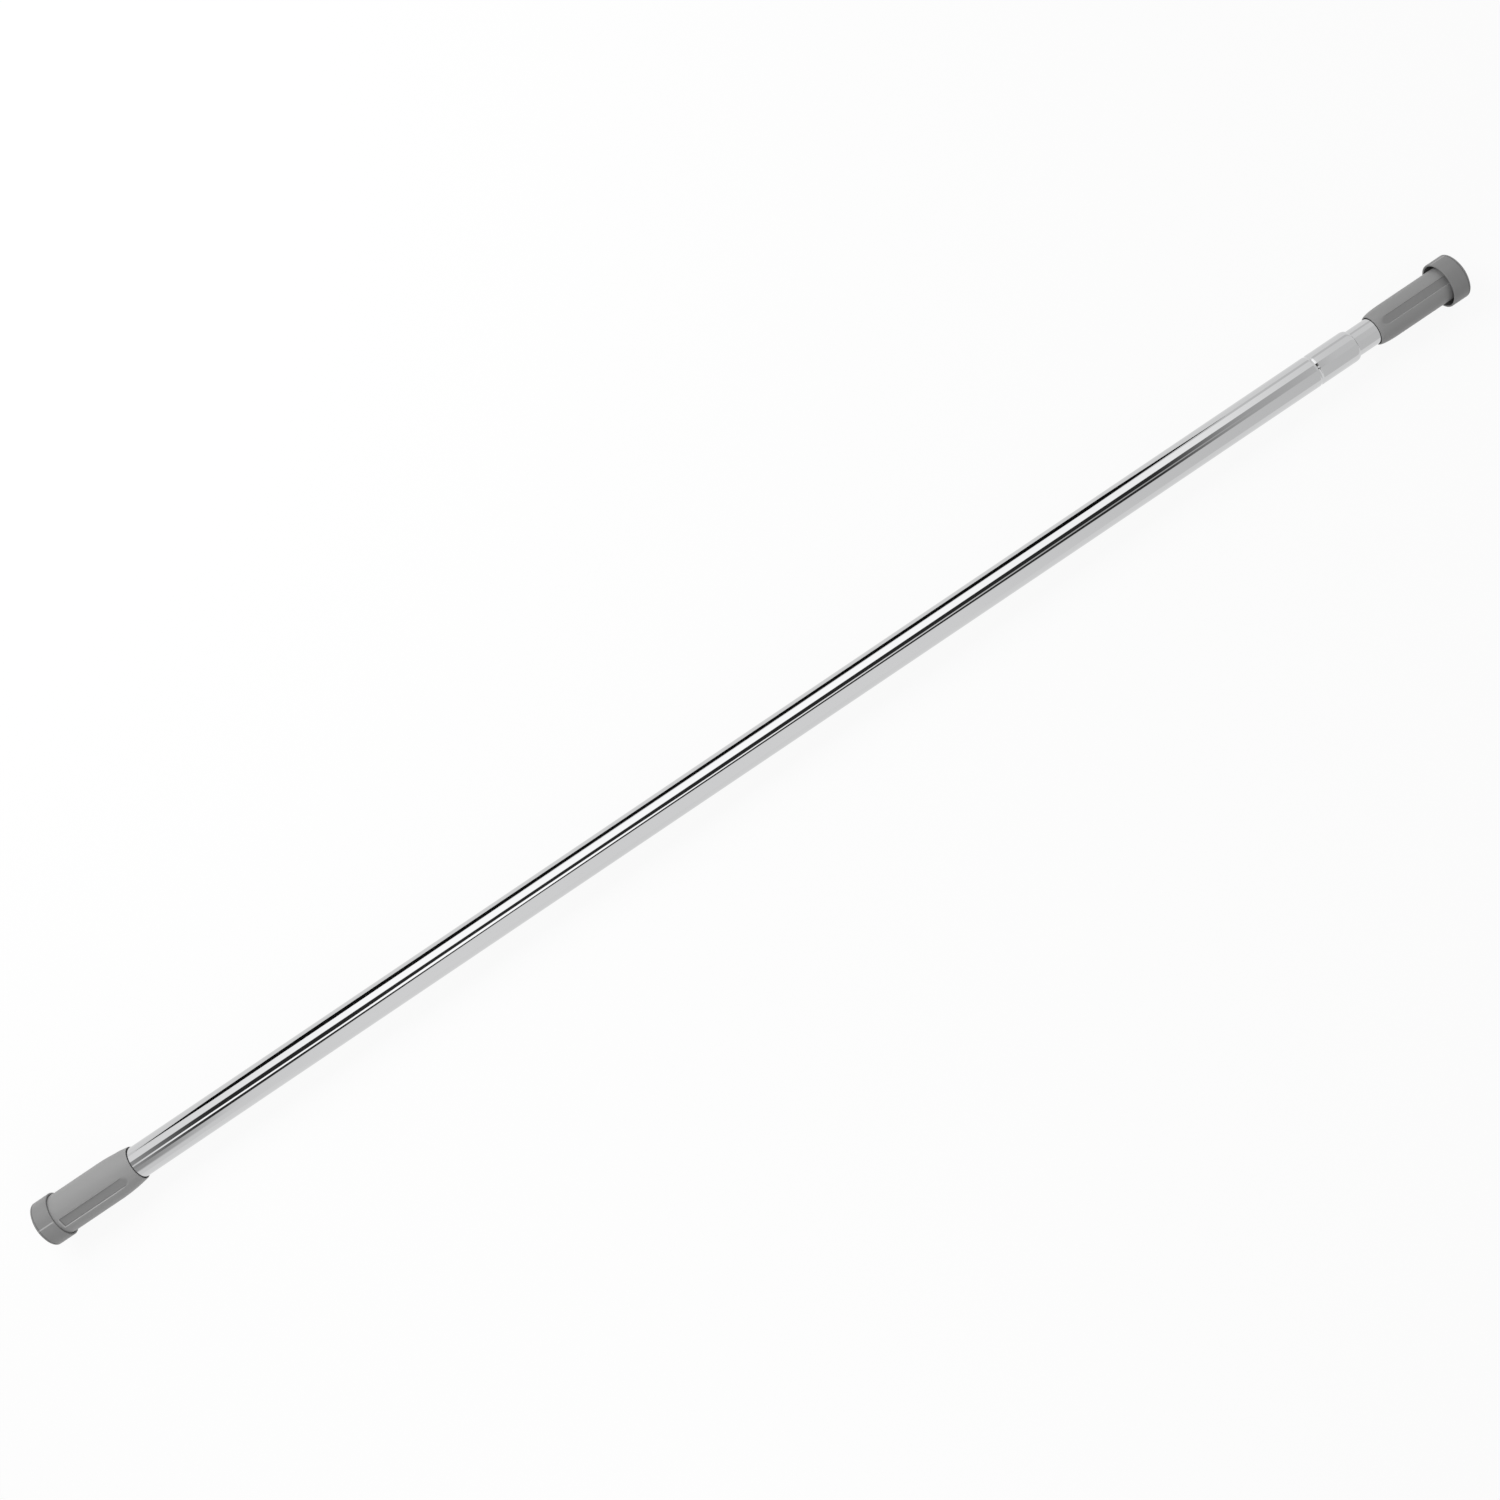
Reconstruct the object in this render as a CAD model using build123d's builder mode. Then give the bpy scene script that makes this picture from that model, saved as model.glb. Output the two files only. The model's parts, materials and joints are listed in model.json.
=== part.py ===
from build123d import *

import os
from math import cos, radians

# Telescopic pull up bar that jacks itself tight between two door jambs. An inner tube slides in
# an outer tube and is locked by a split collet. At each end a grip sleeve turns a captive nut,
# and the nut winds a threaded spindle and its cup-shaped foot out against the jamb.
#
# Millimetres. +X runs along the bar, from the middle of the left foot's face to the right foot.
# +Z is up. The bar's axis is the X axis.

# ---------------------------------------------------------------- overall sizes
overall_length = 1600.0  # foot face to foot face, with both feet wound in
mouth_from_right_foot = 118.0  # the outer tube's mouth
lock_from_right_foot = 980.0  # the inner tube's hidden end, where the lock is

# ---------------------------------------------------------------- tubes
outer_tube_d = 32.0
outer_wall = 1.2
guide_gap = 1.3  # radial space between the tubes, filled at the mouth by the guide bush
inner_wall = 1.2
rolled_depth = 0.8  # grooves rolled into the tubes for the retaining rings
rolled_half_width = 1.5
mouth_groove_depth = 0.5  # the gentler groove that holds the guide bush
mouth_groove_half_width = 1.8
mouth_roll_length = 4.5  # the outer tube's end is rolled in over this length
bush_length = 37.0
bush_end_gap = 0.5  # to the rolled mouth and to the rolled groove

# ---------------------------------------------------------------- clearances
seat = 0.05  # pieces fixed in one another
thread = 0.05  # a screw in its nut, both plain cylinders here
running = 0.3  # between pieces that move past one another
bush_running = 0.08  # the inner tube in its guide bush
face_running = 0.1  # nut on its thrust washer

# ---------------------------------------------------------------- feet
pad_thickness = 3.0
pad_stand_out = 1.0  # the rubber stands this far out of the cup
pad_edge_round = 0.8
cup_depth = 17.8  # rim to mouth
cup_wall = 1.85
cup_gap = 0.5  # to the larger grip sleeve
cup_rim_width = 2.0  # around the rubber pad
cup_floor = 2.5
cup_rim_round = 1.2
cup_mouth_round = 0.5
hub_wall = 2.0
spindle_d = 12.0
spindle_flat_depth = 1.0
spindle_length = 64.5
spindle_head_across = 19.0
spindle_head_height = 3.0
screw_d = 5.0
screw_head_d = 9.6
screw_head_height = 2.3
screw_length = 13.0
screw_socket_across = 3.0
screw_socket_depth = 1.6
tapped_hole_spare = 2.0
thread_pitch = 1.75
twist_turns = 6  # turns of a grip sleeve from wound in to wound out

# ---------------------------------------------------------------- grip sleeves
left_sleeve_wall = 4.2
right_sleeve_wall = 3.35
left_mouth_from_foot = 104.5
right_mouth_from_foot = 94.5
left_taper_length = 31.5
right_nose_length = 18.0
left_mouth_wall = 1.1
right_mouth_wall = 0.8
left_groove_width = 9.7
right_groove_width = 8.5
left_groove_depth = 1.8
right_groove_depth = 1.05
left_groove_start = 22.0
right_groove_start = 13.0
groove_count = 3
left_groove_angle = -23.0  # about the bar's axis, from straight up
right_groove_angle = 3.8
sleeve_to_cup_floor = 0.8
web_to_hub = 3.0
web_thickness = 3.0
web_spindle_gap = 1.0

# ---------------------------------------------------------------- nut, washer, plug, ring
nut_length = 14.0
nut_corner_gap = 0.2  # so that the nut passes down the smaller sleeve
washer_thickness = 2.0
washer_edge_gap = 0.2
washer_bore_gap = 0.5
plug_flange_thickness = 3.0
plug_body_length = 25.0
pin_d = 3.0
pin_depth = 5.5
pin_below_surface = 0.1
ring_wire_d = 1.6
ring_beyond_plug = 3.5
ring_opening = 4.0

# ---------------------------------------------------------------- telescopic lock
lock_flange_thickness = 3.0
lock_flange_inset = 0.3
lock_plug_length = 25.0
cross_pin_d = 4.0
cross_pin_in = 12.0
stud_d = 8.0
stud_in_plug = 20.0
stud_end_spare = 3.0
collet_base_length = 12.7
collet_finger_length = 24.0
collet_mouth_r = 12.0
collet_throat_r = 8.0
collet_slot_width = 2.4
collet_slot_count = 6
collet_slot_short = 1.0  # the slots end this far short of the fingers' root
o_ring_d = 2.0
o_ring_side_gap = 0.15
cone_gap = 0.7  # to the collet, with the lock slack
cone_reach = 18.0  # how far the cone enters the fingers, with the lock slack
cone_lead = 2.0  # tapered length outside the fingers
cone_barrel_length = 8.0
key_width = 1.6
key_top_gap = 1.1  # below the outer tube's bore
hex_nut_across = 13.0
hex_nut_height = 6.5
stop_nut_gap = 1.5

# ---------------------------------------------------------------- radii that follow
outer_r = outer_tube_d / 2
outer_bore = outer_r - outer_wall
inner_r = outer_bore - guide_gap
inner_bore = inner_r - inner_wall
left_sleeve_r = outer_r + running + left_sleeve_wall
right_sleeve_r = inner_r + running + right_sleeve_wall
cup_bore = left_sleeve_r + cup_gap
cup_r = cup_bore + cup_wall
pad_r = cup_r - cup_rim_width - seat
spindle_r = spindle_d / 2
nut_corner_r = inner_r + running - nut_corner_gap
nut_across = 2 * nut_corner_r * cos(radians(30))
washer_r = inner_r - washer_edge_gap
groove_floor_r = {"left": left_sleeve_r - left_groove_depth, "right": right_sleeve_r - right_groove_depth}

# ---------------------------------------------------------------- stations from a foot's face
pad_seat = pad_thickness
cup_rim = pad_stand_out
cup_mouth = cup_rim + cup_depth
cup_inside = pad_seat + cup_floor
hub_top = cup_inside + spindle_head_height
sleeve_end = cup_inside + sleeve_to_cup_floor
web_start = hub_top + web_to_hub
nut_start = web_start + web_thickness
nut_end = nut_start + nut_length
washer_start = nut_end + face_running
washer_end = washer_start + washer_thickness
tube_end = washer_end + plug_flange_thickness
plug_end = tube_end + plug_body_length
ring_station = plug_end + ring_beyond_plug
pin_station = (tube_end + plug_end) / 2

# ---------------------------------------------------------------- stations along the bar
mouth_x = overall_length - mouth_from_right_foot
bush_end_x = mouth_x - mouth_roll_length - bush_end_gap
bush_start_x = bush_end_x - bush_length
mouth_groove_x = bush_start_x - bush_end_gap - mouth_groove_half_width
lock_x = overall_length - lock_from_right_foot
collet_end_x = lock_x - lock_flange_thickness - running
finger_root_x = collet_end_x - collet_base_length
finger_tip_x = finger_root_x - collet_finger_length
cone_nose_x = finger_tip_x + cone_reach
cone_shoulder_x = finger_tip_x - cone_lead
cone_back_x = cone_shoulder_x - cone_barrel_length
stop_nut_x = cone_back_x - stop_nut_gap
stud_start_x = stop_nut_x - hex_nut_height - stud_end_spare


class End:
    """One end of the bar: its name, its tube, and how stations from the foot's face map to X."""

    def __init__(self, name, face_x, inward, tube_r, tube_bore):
        self.name, self.face_x, self.inward = name, face_x, inward
        self.tube_r, self.tube_bore = tube_r, tube_bore

    def x(self, station):
        return self.face_x + self.inward * station

    def corners(self, *pairs):
        """(station, radius) pairs as points of the plane that is turned about the axis."""
        return [(self.x(station), radius) for station, radius in pairs]

    def across(self, station):
        """The plane across the bar at a station. Its normal points into the bar, its y up."""
        side = Vector(0, 0, 1).cross(Vector(self.inward, 0, 0))
        return Plane(origin=(self.x(station), 0, 0), x_dir=side, z_dir=(self.inward, 0, 0))


left = End("left", 0.0, 1, outer_r, outer_bore)
right = End("right", overall_length, -1, inner_r, inner_bore)
ring_groove_x = {end.name: end.x(ring_station) for end in (left, right)}


def across(x):
    """The plane across the bar at x, with its normal along +X and its y up."""
    return Plane(origin=(x, 0, 0), x_dir=(0, 1, 0), z_dir=(1, 0, 0))


def write(part, label):
    part.label = label
    export_step(part, f"parts/{label}.step")


def rolled_surface(start_x, end_x, radius, grooves):
    """One surface of a tube's wall. Each groove is (place, half width, depth), in rising x."""
    x = start_x
    for place, half_width, depth in grooves:
        Line((x, radius), (place - half_width, radius))
        x = place + half_width
        ThreePointArc((place - half_width, radius), (place, radius - depth), (x, radius))
    Line((x, radius), (end_x, radius))


def ring_groove(end):
    """The rolled groove that an end's retaining ring lies in."""
    return ring_groove_x[end.name], rolled_half_width, rolled_depth


# ================================================================ outer tube and its fittings
def outer_tube():
    start_x, roll_x = left.x(tube_end), mouth_x - mouth_roll_length
    lip_r = inner_r + running
    grooves = [ring_groove(left), (mouth_groove_x, mouth_groove_half_width, mouth_groove_depth)]
    with BuildPart() as tube:
        with BuildSketch(Plane.XZ):
            with BuildLine():
                Line((start_x, outer_bore), (start_x, outer_r))
                rolled_surface(start_x, roll_x, outer_r, grooves)
                EllipticalCenterArc(
                    (roll_x, lip_r), mouth_roll_length, outer_r - lip_r, start_angle=0, arc_size=90
                )
                Line((mouth_x, lip_r), (mouth_x - outer_wall, lip_r))
                EllipticalCenterArc(
                    (roll_x, lip_r),
                    mouth_roll_length - outer_wall,
                    outer_bore - lip_r,
                    start_angle=0,
                    arc_size=90,
                )
                rolled_surface(start_x, roll_x, outer_bore, grooves)
            make_face()
        revolve(axis=Axis.X)
        with Locations((left.x(pin_station), 0, 0)):
            Cylinder(pin_d / 2 + seat, 3 * outer_r, mode=Mode.SUBTRACT)
    write(tube.part, "outer_tube")


def mouth_bush():
    """The plastic liner that the inner tube runs in, held by the rolled groove and mouth."""
    with BuildPart() as bush:
        with BuildSketch(across(bush_start_x)):
            Circle(outer_bore - seat)
            Circle(inner_r + bush_running, mode=Mode.SUBTRACT)
        extrude(amount=bush_length)
    write(bush.part, "mouth_bush")


# ================================================================ both ends, fixed pieces
def end_plug(end):
    """Closes the tube. Its flatted bore guides the spindle and keeps it from turning."""
    with BuildPart() as plug:
        with BuildSketch(end.across(washer_end)):
            Circle(end.tube_r)
        extrude(amount=plug_flange_thickness)
        with BuildSketch(end.across(tube_end)):
            Circle(end.tube_bore - seat)
        extrude(amount=plug_body_length)
        with BuildSketch(end.across(washer_end)):
            Circle(spindle_r + running)
            flats_apart = 2 * (spindle_r - spindle_flat_depth + running)
            Rectangle(3 * spindle_r, flats_apart, mode=Mode.INTERSECT)
        extrude(amount=plug_flange_thickness + plug_body_length, mode=Mode.SUBTRACT)
        middle = end.tube_r - pin_depth / 2
        with Locations((end.x(pin_station), 0, middle), (end.x(pin_station), 0, -middle)):
            Cylinder(pin_d / 2 + seat, pin_depth + 2 * seat, mode=Mode.SUBTRACT)
    write(plug.part, f"{end.name}_end_plug")


def plug_pins(end):
    """Two short pins through the tube's wall into the plug, one above and one below."""
    middle = end.tube_r - pin_below_surface - (pin_depth - pin_below_surface) / 2
    with BuildPart() as pins:
        with Locations((end.x(pin_station), 0, middle), (end.x(pin_station), 0, -middle)):
            Cylinder(pin_d / 2, pin_depth - pin_below_surface)
    write(pins.part, f"{end.name}_plug_pins")


def thrust_washer(end):
    with BuildPart() as washer:
        with BuildSketch(end.across(washer_start)):
            Circle(washer_r)
            Circle(spindle_r + washer_bore_gap, mode=Mode.SUBTRACT)
        extrude(amount=washer_thickness)
    write(washer.part, f"{end.name}_thrust_washer")


def wire_centre_r(end):
    """Where the retaining ring's wire runs when it lies in the tube's rolled groove."""
    return end.tube_r - rolled_depth + seat + ring_wire_d / 2


def snap_ring(end):
    """An open wire ring in the tube's rolled groove. It keeps the sleeve on the tube."""
    with BuildPart() as ring:
        with BuildSketch(Plane.XZ):
            with Locations((ring_groove_x[end.name], wire_centre_r(end))):
                Circle(ring_wire_d / 2)
        revolve(axis=Axis.X)
        with Locations((ring_groove_x[end.name], 0, end.tube_r)):
            Box(2 * ring_wire_d, ring_opening, end.tube_r, mode=Mode.SUBTRACT)
    write(ring.part, f"{end.name}_snap_ring")


# ================================================================ both ends, grip sleeve and nut
def sleeve_bore(end):
    """Hollow of a sleeve: skirt round the spindle's head, web, nut pocket, tube bore, ring groove."""
    bore = end.tube_r + running
    mouth = left_mouth_from_foot if end is left else right_mouth_from_foot
    with BuildPart() as hollow:
        with BuildSketch(end.across(sleeve_end)):
            Circle(bore)
        extrude(amount=web_start - sleeve_end)
        with BuildSketch(end.across(web_start)):
            Circle(spindle_r + web_spindle_gap)
        extrude(amount=web_thickness)
        with BuildSketch(end.across(nut_start)):
            RegularPolygon(nut_across / 2 + seat, 6, major_radius=False)
        extrude(amount=nut_length)
        with BuildSketch(end.across(nut_end)):
            Circle(bore)
        extrude(amount=mouth - nut_end)
        with BuildSketch(end.across(ring_station - ring_wire_d / 2 - running)):
            Circle(wire_centre_r(end) + ring_wire_d / 2 + running)
        extrude(amount=ring_wire_d + 2 * running)
    return hollow.part


def cut_grip_grooves(end, start, mouth, angle, width):
    """The cutters of the flat-floored grooves that run along a sleeve for the hand."""
    floor_r = groove_floor_r[end.name]
    with BuildPart() as cutters:
        with BuildSketch(across(min(end.x(start), end.x(mouth)))):
            with PolarLocations(floor_r + end.tube_r / 2, groove_count, start_angle=90 - angle):
                Rectangle(end.tube_r, width)
        extrude(amount=mouth - start)
    return cutters.part


def left_grip_sleeve():
    mouth, bore = left_mouth_from_foot, outer_r + running
    with BuildPart() as sleeve:
        with BuildSketch(Plane.XZ):
            with BuildLine():
                taper_x = left.x(mouth - left_taper_length)
                Polyline(
                    (left.x(sleeve_end), 0), (left.x(sleeve_end), left_sleeve_r), (taper_x, left_sleeve_r)
                )
                mouth_corner = (left.x(mouth), bore + left_mouth_wall)
                TangentArc((taper_x, left_sleeve_r), mouth_corner, tangent=(1, 0))
                Polyline(mouth_corner, (left.x(mouth), 0), (left.x(sleeve_end), 0))
            make_face()
        revolve(axis=Axis.X)
        add(sleeve_bore(left), mode=Mode.SUBTRACT)
        grooves = cut_grip_grooves(
            left, left_groove_start, mouth, left_groove_angle, left_groove_width
        )
        add(grooves, mode=Mode.SUBTRACT)
    write(sleeve.part, "left_grip_sleeve")


def right_grip_sleeve():
    mouth, bore = right_mouth_from_foot, inner_r + running
    mouth_r = bore + right_mouth_wall
    nose_x = right.x(mouth - right_nose_length)
    with BuildPart() as sleeve:
        with BuildSketch(Plane.XZ):
            with BuildLine():
                EllipticalCenterArc(
                    (nose_x, mouth_r),
                    right_nose_length,
                    right_sleeve_r - mouth_r,
                    start_angle=90,
                    arc_size=90,
                )
                Polyline(
                    (right.x(mouth), mouth_r),
                    (right.x(mouth), 0),
                    (right.x(sleeve_end), 0),
                    (right.x(sleeve_end), right_sleeve_r),
                    (nose_x, right_sleeve_r),
                )
            make_face()
        revolve(axis=Axis.X)
        add(sleeve_bore(right), mode=Mode.SUBTRACT)
        grooves = cut_grip_grooves(
            right, right_groove_start, mouth, right_groove_angle, right_groove_width
        )
        add(grooves, mode=Mode.SUBTRACT)
    write(sleeve.part, "right_grip_sleeve")


def grip_nut(end):
    with BuildPart() as nut:
        with BuildSketch(end.across(nut_start)):
            RegularPolygon(nut_across / 2, 6, major_radius=False)
            Circle(spindle_r + thread, mode=Mode.SUBTRACT)
        extrude(amount=nut_length)
    write(nut.part, f"{end.name}_grip_nut")


# ================================================================ both ends, foot
def foot_cup(end):
    with BuildPart() as cup:
        with BuildSketch(Plane.XZ):
            with BuildLine():
                Polyline(
                    *end.corners(
                        (pad_seat, 0),
                        (pad_seat, pad_r + seat),
                        (cup_rim, pad_r + seat),
                        (cup_rim, cup_r),
                        (cup_mouth, cup_r),
                        (cup_mouth, cup_bore),
                        (cup_inside, cup_bore),
                        (cup_inside, 0),
                    ),
                    close=True,
                )
            make_face()
        revolve(axis=Axis.X)
        rings = cup.edges().filter_by(GeomType.CIRCLE)
        outside = rings.filter_by(lambda edge: abs(edge.radius - cup_r) < seat).sort_by(Axis.X)
        fillet(outside[0] if end is left else outside[-1], cup_rim_round)
        fillet(outside[-1] if end is left else outside[0], cup_mouth_round)
        with BuildSketch(end.across(cup_inside)):
            Circle(spindle_head_across / 2 / cos(radians(30)) + hub_wall)
            RegularPolygon(spindle_head_across / 2 + seat, 6, major_radius=False, mode=Mode.SUBTRACT)
        extrude(amount=spindle_head_height)
        with Locations(end.across(pad_seat).offset(cup_floor)):
            Hole(screw_d / 2 + seat, depth=cup_floor)
        with BuildSketch(Plane.XZ):
            with BuildLine():
                Polyline(
                    *end.corners(
                        (pad_seat, 0),
                        (pad_seat, screw_head_d / 2 + seat),
                        (pad_seat + screw_head_height, screw_d / 2 + seat),
                        (pad_seat + screw_head_height, 0),
                    ),
                    close=True,
                )
            make_face()
        revolve(axis=Axis.X, mode=Mode.SUBTRACT)
    write(cup.part, f"{end.name}_foot_cup")


def foot_pad(end):
    with BuildPart() as pad:
        with BuildSketch(end.across(0)):
            Circle(pad_r)
        extrude(amount=pad_thickness)
        faces = pad.faces().sort_by(Axis.X)
        fillet((faces[0] if end is left else faces[-1]).edges(), pad_edge_round)
    write(pad.part, f"{end.name}_foot_pad")


def foot_spindle(end):
    """Hexagonal head seated in the cup's hub, then a flatted threaded shank."""
    with BuildPart() as spindle:
        with BuildSketch(end.across(cup_inside)):
            RegularPolygon(spindle_head_across / 2, 6, major_radius=False)
        extrude(amount=spindle_head_height)
        with BuildSketch(end.across(cup_inside)):
            Circle(spindle_r)
            flats_apart = 2 * (spindle_r - spindle_flat_depth)
            Rectangle(3 * spindle_r, flats_apart, mode=Mode.INTERSECT)
        extrude(amount=spindle_length)
        with BuildSketch(end.across(cup_inside)):
            Circle(screw_d / 2 + seat)
        extrude(amount=screw_length + tapped_hole_spare, mode=Mode.SUBTRACT)
    write(spindle.part, f"{end.name}_foot_spindle")


def foot_screw(end):
    """Countersunk socket screw that holds the cup on the spindle, under the rubber pad."""
    with BuildPart() as screw:
        with BuildSketch(Plane.XZ):
            with BuildLine():
                Polyline(
                    *end.corners(
                        (pad_seat, 0),
                        (pad_seat, screw_head_d / 2),
                        (pad_seat + screw_head_height, screw_d / 2),
                        (pad_seat + screw_length, screw_d / 2),
                        (pad_seat + screw_length, 0),
                    ),
                    close=True,
                )
            make_face()
        revolve(axis=Axis.X)
        with BuildSketch(end.across(pad_seat)):
            RegularPolygon(screw_socket_across / 2, 6, major_radius=False)
        extrude(amount=screw_socket_depth, mode=Mode.SUBTRACT)
    write(screw.part, f"{end.name}_foot_screw")


# ================================================================ inner tube and the lock
def inner_tube():
    end_x = right.x(tube_end)
    grooves = [ring_groove(right)]
    with BuildPart() as tube:
        with BuildSketch(Plane.XZ):
            with BuildLine():
                Line((lock_x, inner_bore), (lock_x, inner_r))
                rolled_surface(lock_x, end_x, inner_r, grooves)
                Line((end_x, inner_r), (end_x, inner_bore))
                rolled_surface(lock_x, end_x, inner_bore, grooves)
            make_face()
        revolve(axis=Axis.X)
        with Locations((right.x(pin_station), 0, 0)):
            Cylinder(pin_d / 2 + seat, 3 * inner_r, mode=Mode.SUBTRACT)
        with Locations((lock_x + cross_pin_in, 0, 0)):
            Cylinder(cross_pin_d / 2 + seat, 3 * inner_r, mode=Mode.SUBTRACT)
    write(tube.part, "inner_tube")


def lock_plug():
    with BuildPart() as plug:
        with BuildSketch(across(lock_x - lock_flange_thickness)):
            Circle(inner_r - lock_flange_inset)
        extrude(amount=lock_flange_thickness)
        with BuildSketch(across(lock_x)):
            Circle(inner_bore - seat)
        extrude(amount=lock_plug_length)
        with BuildSketch(across(lock_x - lock_flange_thickness)):
            Circle(stud_d / 2 + seat)
        extrude(amount=lock_flange_thickness + stud_in_plug + seat, mode=Mode.SUBTRACT)
        with Locations((lock_x + cross_pin_in, 0, 0)):
            Cylinder(cross_pin_d / 2 + seat, 3 * inner_r, mode=Mode.SUBTRACT)
    write(plug.part, "lock_plug")


def lock_stud():
    with BuildPart() as stud:
        with BuildSketch(across(stud_start_x)):
            Circle(stud_d / 2)
        extrude(amount=lock_x + stud_in_plug - stud_start_x)
        with Locations((lock_x + cross_pin_in, 0, 0)):
            Cylinder(cross_pin_d / 2 + seat, stud_d, mode=Mode.SUBTRACT)
    write(stud.part, "lock_stud")


def lock_cross_pin():
    with BuildPart() as pin:
        with Locations((lock_x + cross_pin_in, 0, 0)):
            Cylinder(cross_pin_d / 2, 2 * (inner_r - pin_below_surface))
    write(pin.part, "lock_cross_pin")


def stud_nut(label, start_x):
    with BuildPart() as nut:
        with BuildSketch(across(start_x)):
            RegularPolygon(hex_nut_across / 2, 6, major_radius=False)
            Circle(stud_d / 2 + thread, mode=Mode.SUBTRACT)
        extrude(amount=hex_nut_height)
    write(nut.part, label)


def o_ring_centre_r():
    return outer_bore - seat - o_ring_d / 2


def o_ring_x():
    return (finger_root_x + collet_end_x) / 2


def lock_collet():
    """Split plastic collet: a base ring on the stud, and fingers that the cone spreads."""
    collet_r = outer_bore - running
    with BuildPart() as collet:
        with BuildSketch(Plane.XZ):
            with BuildLine():
                Polyline(
                    (finger_tip_x, collet_mouth_r),
                    (finger_tip_x, collet_r),
                    (collet_end_x, collet_r),
                    (collet_end_x, stud_d / 2 + running),
                    (finger_root_x, stud_d / 2 + running),
                    (finger_root_x, collet_throat_r),
                    close=True,
                )
            make_face()
        revolve(axis=Axis.X)
        with BuildSketch(across(finger_tip_x)):
            with PolarLocations(0, collet_slot_count // 2, angular_range=180, start_angle=90):
                Rectangle(3 * collet_r, collet_slot_width)
        extrude(amount=collet_finger_length - collet_slot_short, mode=Mode.SUBTRACT)
        side = o_ring_d / 2 + o_ring_side_gap
        with BuildSketch(across(o_ring_x() - side)):
            Circle(2 * collet_r)
            Circle(o_ring_centre_r() - o_ring_d / 2 - seat, mode=Mode.SUBTRACT)
        extrude(amount=2 * side, mode=Mode.SUBTRACT)
    write(collet.part, "lock_collet")


def collet_o_ring():
    """Rubber ring that drags on the outer tube's bore, so that the collet doesn't turn."""
    with BuildPart() as ring:
        with BuildSketch(Plane.XZ):
            with Locations((o_ring_x(), o_ring_centre_r())):
                Circle(o_ring_d / 2)
        revolve(axis=Axis.X)
    write(ring.part, "collet_o_ring")


def cone_radius(x):
    """The cone's radius at x: the collet's own taper, less the slack lock's gap."""
    slope = (collet_mouth_r - collet_throat_r) / collet_finger_length
    return collet_mouth_r - slope * (x - finger_tip_x) - cone_gap


def lock_cone():
    barrel_r = cone_radius(cone_shoulder_x)
    key_top_r = outer_bore - key_top_gap
    with BuildPart() as cone:
        with BuildSketch(Plane.XZ):
            with BuildLine():
                Polyline(
                    (cone_back_x, stud_d / 2 + running),
                    (cone_back_x, barrel_r),
                    (cone_shoulder_x, barrel_r),
                    (cone_nose_x, cone_radius(cone_nose_x)),
                    (cone_nose_x, stud_d / 2 + running),
                    close=True,
                )
            make_face()
        revolve(axis=Axis.X)
        key_length = cone_nose_x - cone_shoulder_x
        with BuildSketch(across(cone_shoulder_x)):
            Rectangle(key_width, 2 * key_top_r)
            Circle(cone_radius(cone_nose_x) - cone_gap, mode=Mode.SUBTRACT)
        extrude(amount=key_length)
        with BuildSketch(across(cone_back_x)):
            RegularPolygon(hex_nut_across / 2 + seat, 6, major_radius=False)
        extrude(amount=hex_nut_height, mode=Mode.SUBTRACT)
    write(cone.part, "lock_cone")


os.makedirs("parts", exist_ok=True)
outer_tube()
mouth_bush()
inner_tube()
lock_plug()
lock_stud()
lock_cross_pin()
lock_collet()
collet_o_ring()
lock_cone()
stud_nut("lock_cone_nut", cone_back_x)
stud_nut("stud_stop_nut", stop_nut_x - hex_nut_height)
left_grip_sleeve()
right_grip_sleeve()
for end in (left, right):
    end_plug(end)
    plug_pins(end)
    thrust_washer(end)
    snap_ring(end)
    grip_nut(end)
    foot_cup(end)
    foot_pad(end)
    foot_spindle(end)
    foot_screw(end)

print("grip nut across flats", round(nut_across, 2), "spindle travel", thread_pitch * twist_turns)
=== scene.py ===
import json
from math import asin, atan2, cos, hypot, pi, radians, sin, tau

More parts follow.
